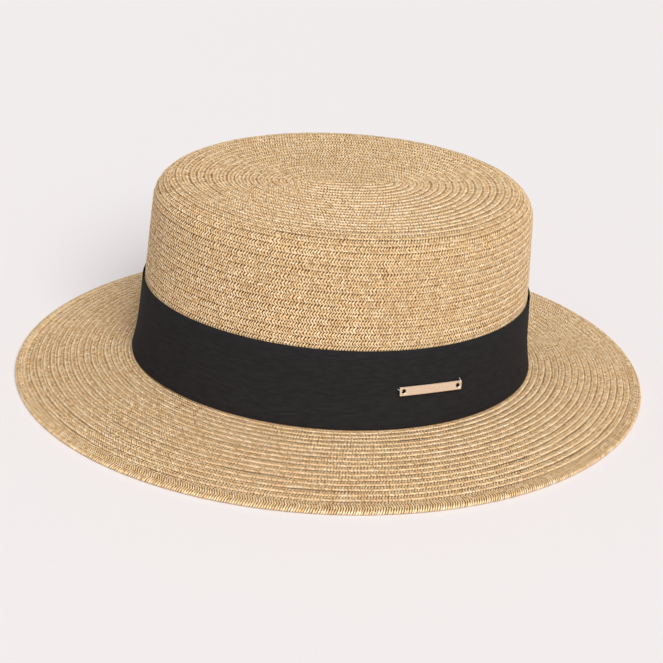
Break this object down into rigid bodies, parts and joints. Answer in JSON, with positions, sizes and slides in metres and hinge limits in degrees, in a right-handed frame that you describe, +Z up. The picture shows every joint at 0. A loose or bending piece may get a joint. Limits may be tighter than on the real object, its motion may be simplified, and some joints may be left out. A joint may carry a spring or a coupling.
{
  "type": "straw boater hat",
  "caption": "Flat-topped straw boater with a sewn braid crown and brim, a black ribbon band and a small bare metal bar.",
  "frame": {"origin": "on the resting plane, under the middle of the brim", "axes": "+Z up, -Y the front of the hat, +X the wearer's left side, where the metal bar is"},
  "size_m": [0.2886, 0.3222, 0.1066],
  "materials": {
    "straw_braid": "natural plaited paper straw, matte, cream and tan strands",
    "ribbon": "black grosgrain ribbon, matte",
    "bar_metal": "pale rose-gold plated, satin"
  },
  "bodies": {
    "root": {"crown": "straw_braid", "brim": "straw_braid", "edge_braid": "straw_braid", "ribbon_band": "ribbon", "metal_bar": "bar_metal"}
  },
  "joints": []
}
